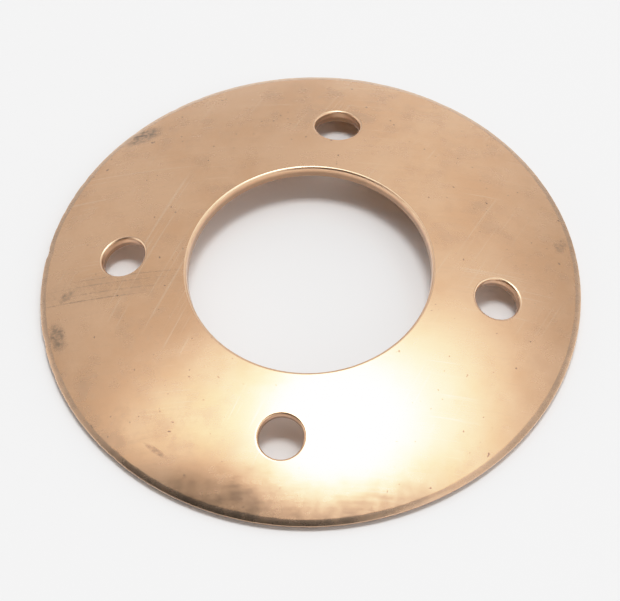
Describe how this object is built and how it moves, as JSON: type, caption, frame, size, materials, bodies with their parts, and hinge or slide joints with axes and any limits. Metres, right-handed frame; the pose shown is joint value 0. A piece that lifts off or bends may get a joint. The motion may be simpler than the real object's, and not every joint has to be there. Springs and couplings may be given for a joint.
{
  "type": "spherical thrust washer",
  "caption": "Dished round thrust washer stamped from sheet metal: a shallow spherical ring with a large centre bore and a ring of small round through holes.",
  "frame": {"origin": "centre of the flat ring on the underside of the rim that the washer rests on", "axes": "+Z along the washer's axis towards the crowned face; +X and +Y each pass over one of the small holes"},
  "size_m": [0.076, 0.076, 0.0079],
  "materials": {
    "bronze": "bare rolled bronze sheet, satin sheen, lightly tarnished, with fine scratches and handling marks"
  },
  "bodies": {
    "root": {"washer": "bronze"}
  },
  "joints": []
}
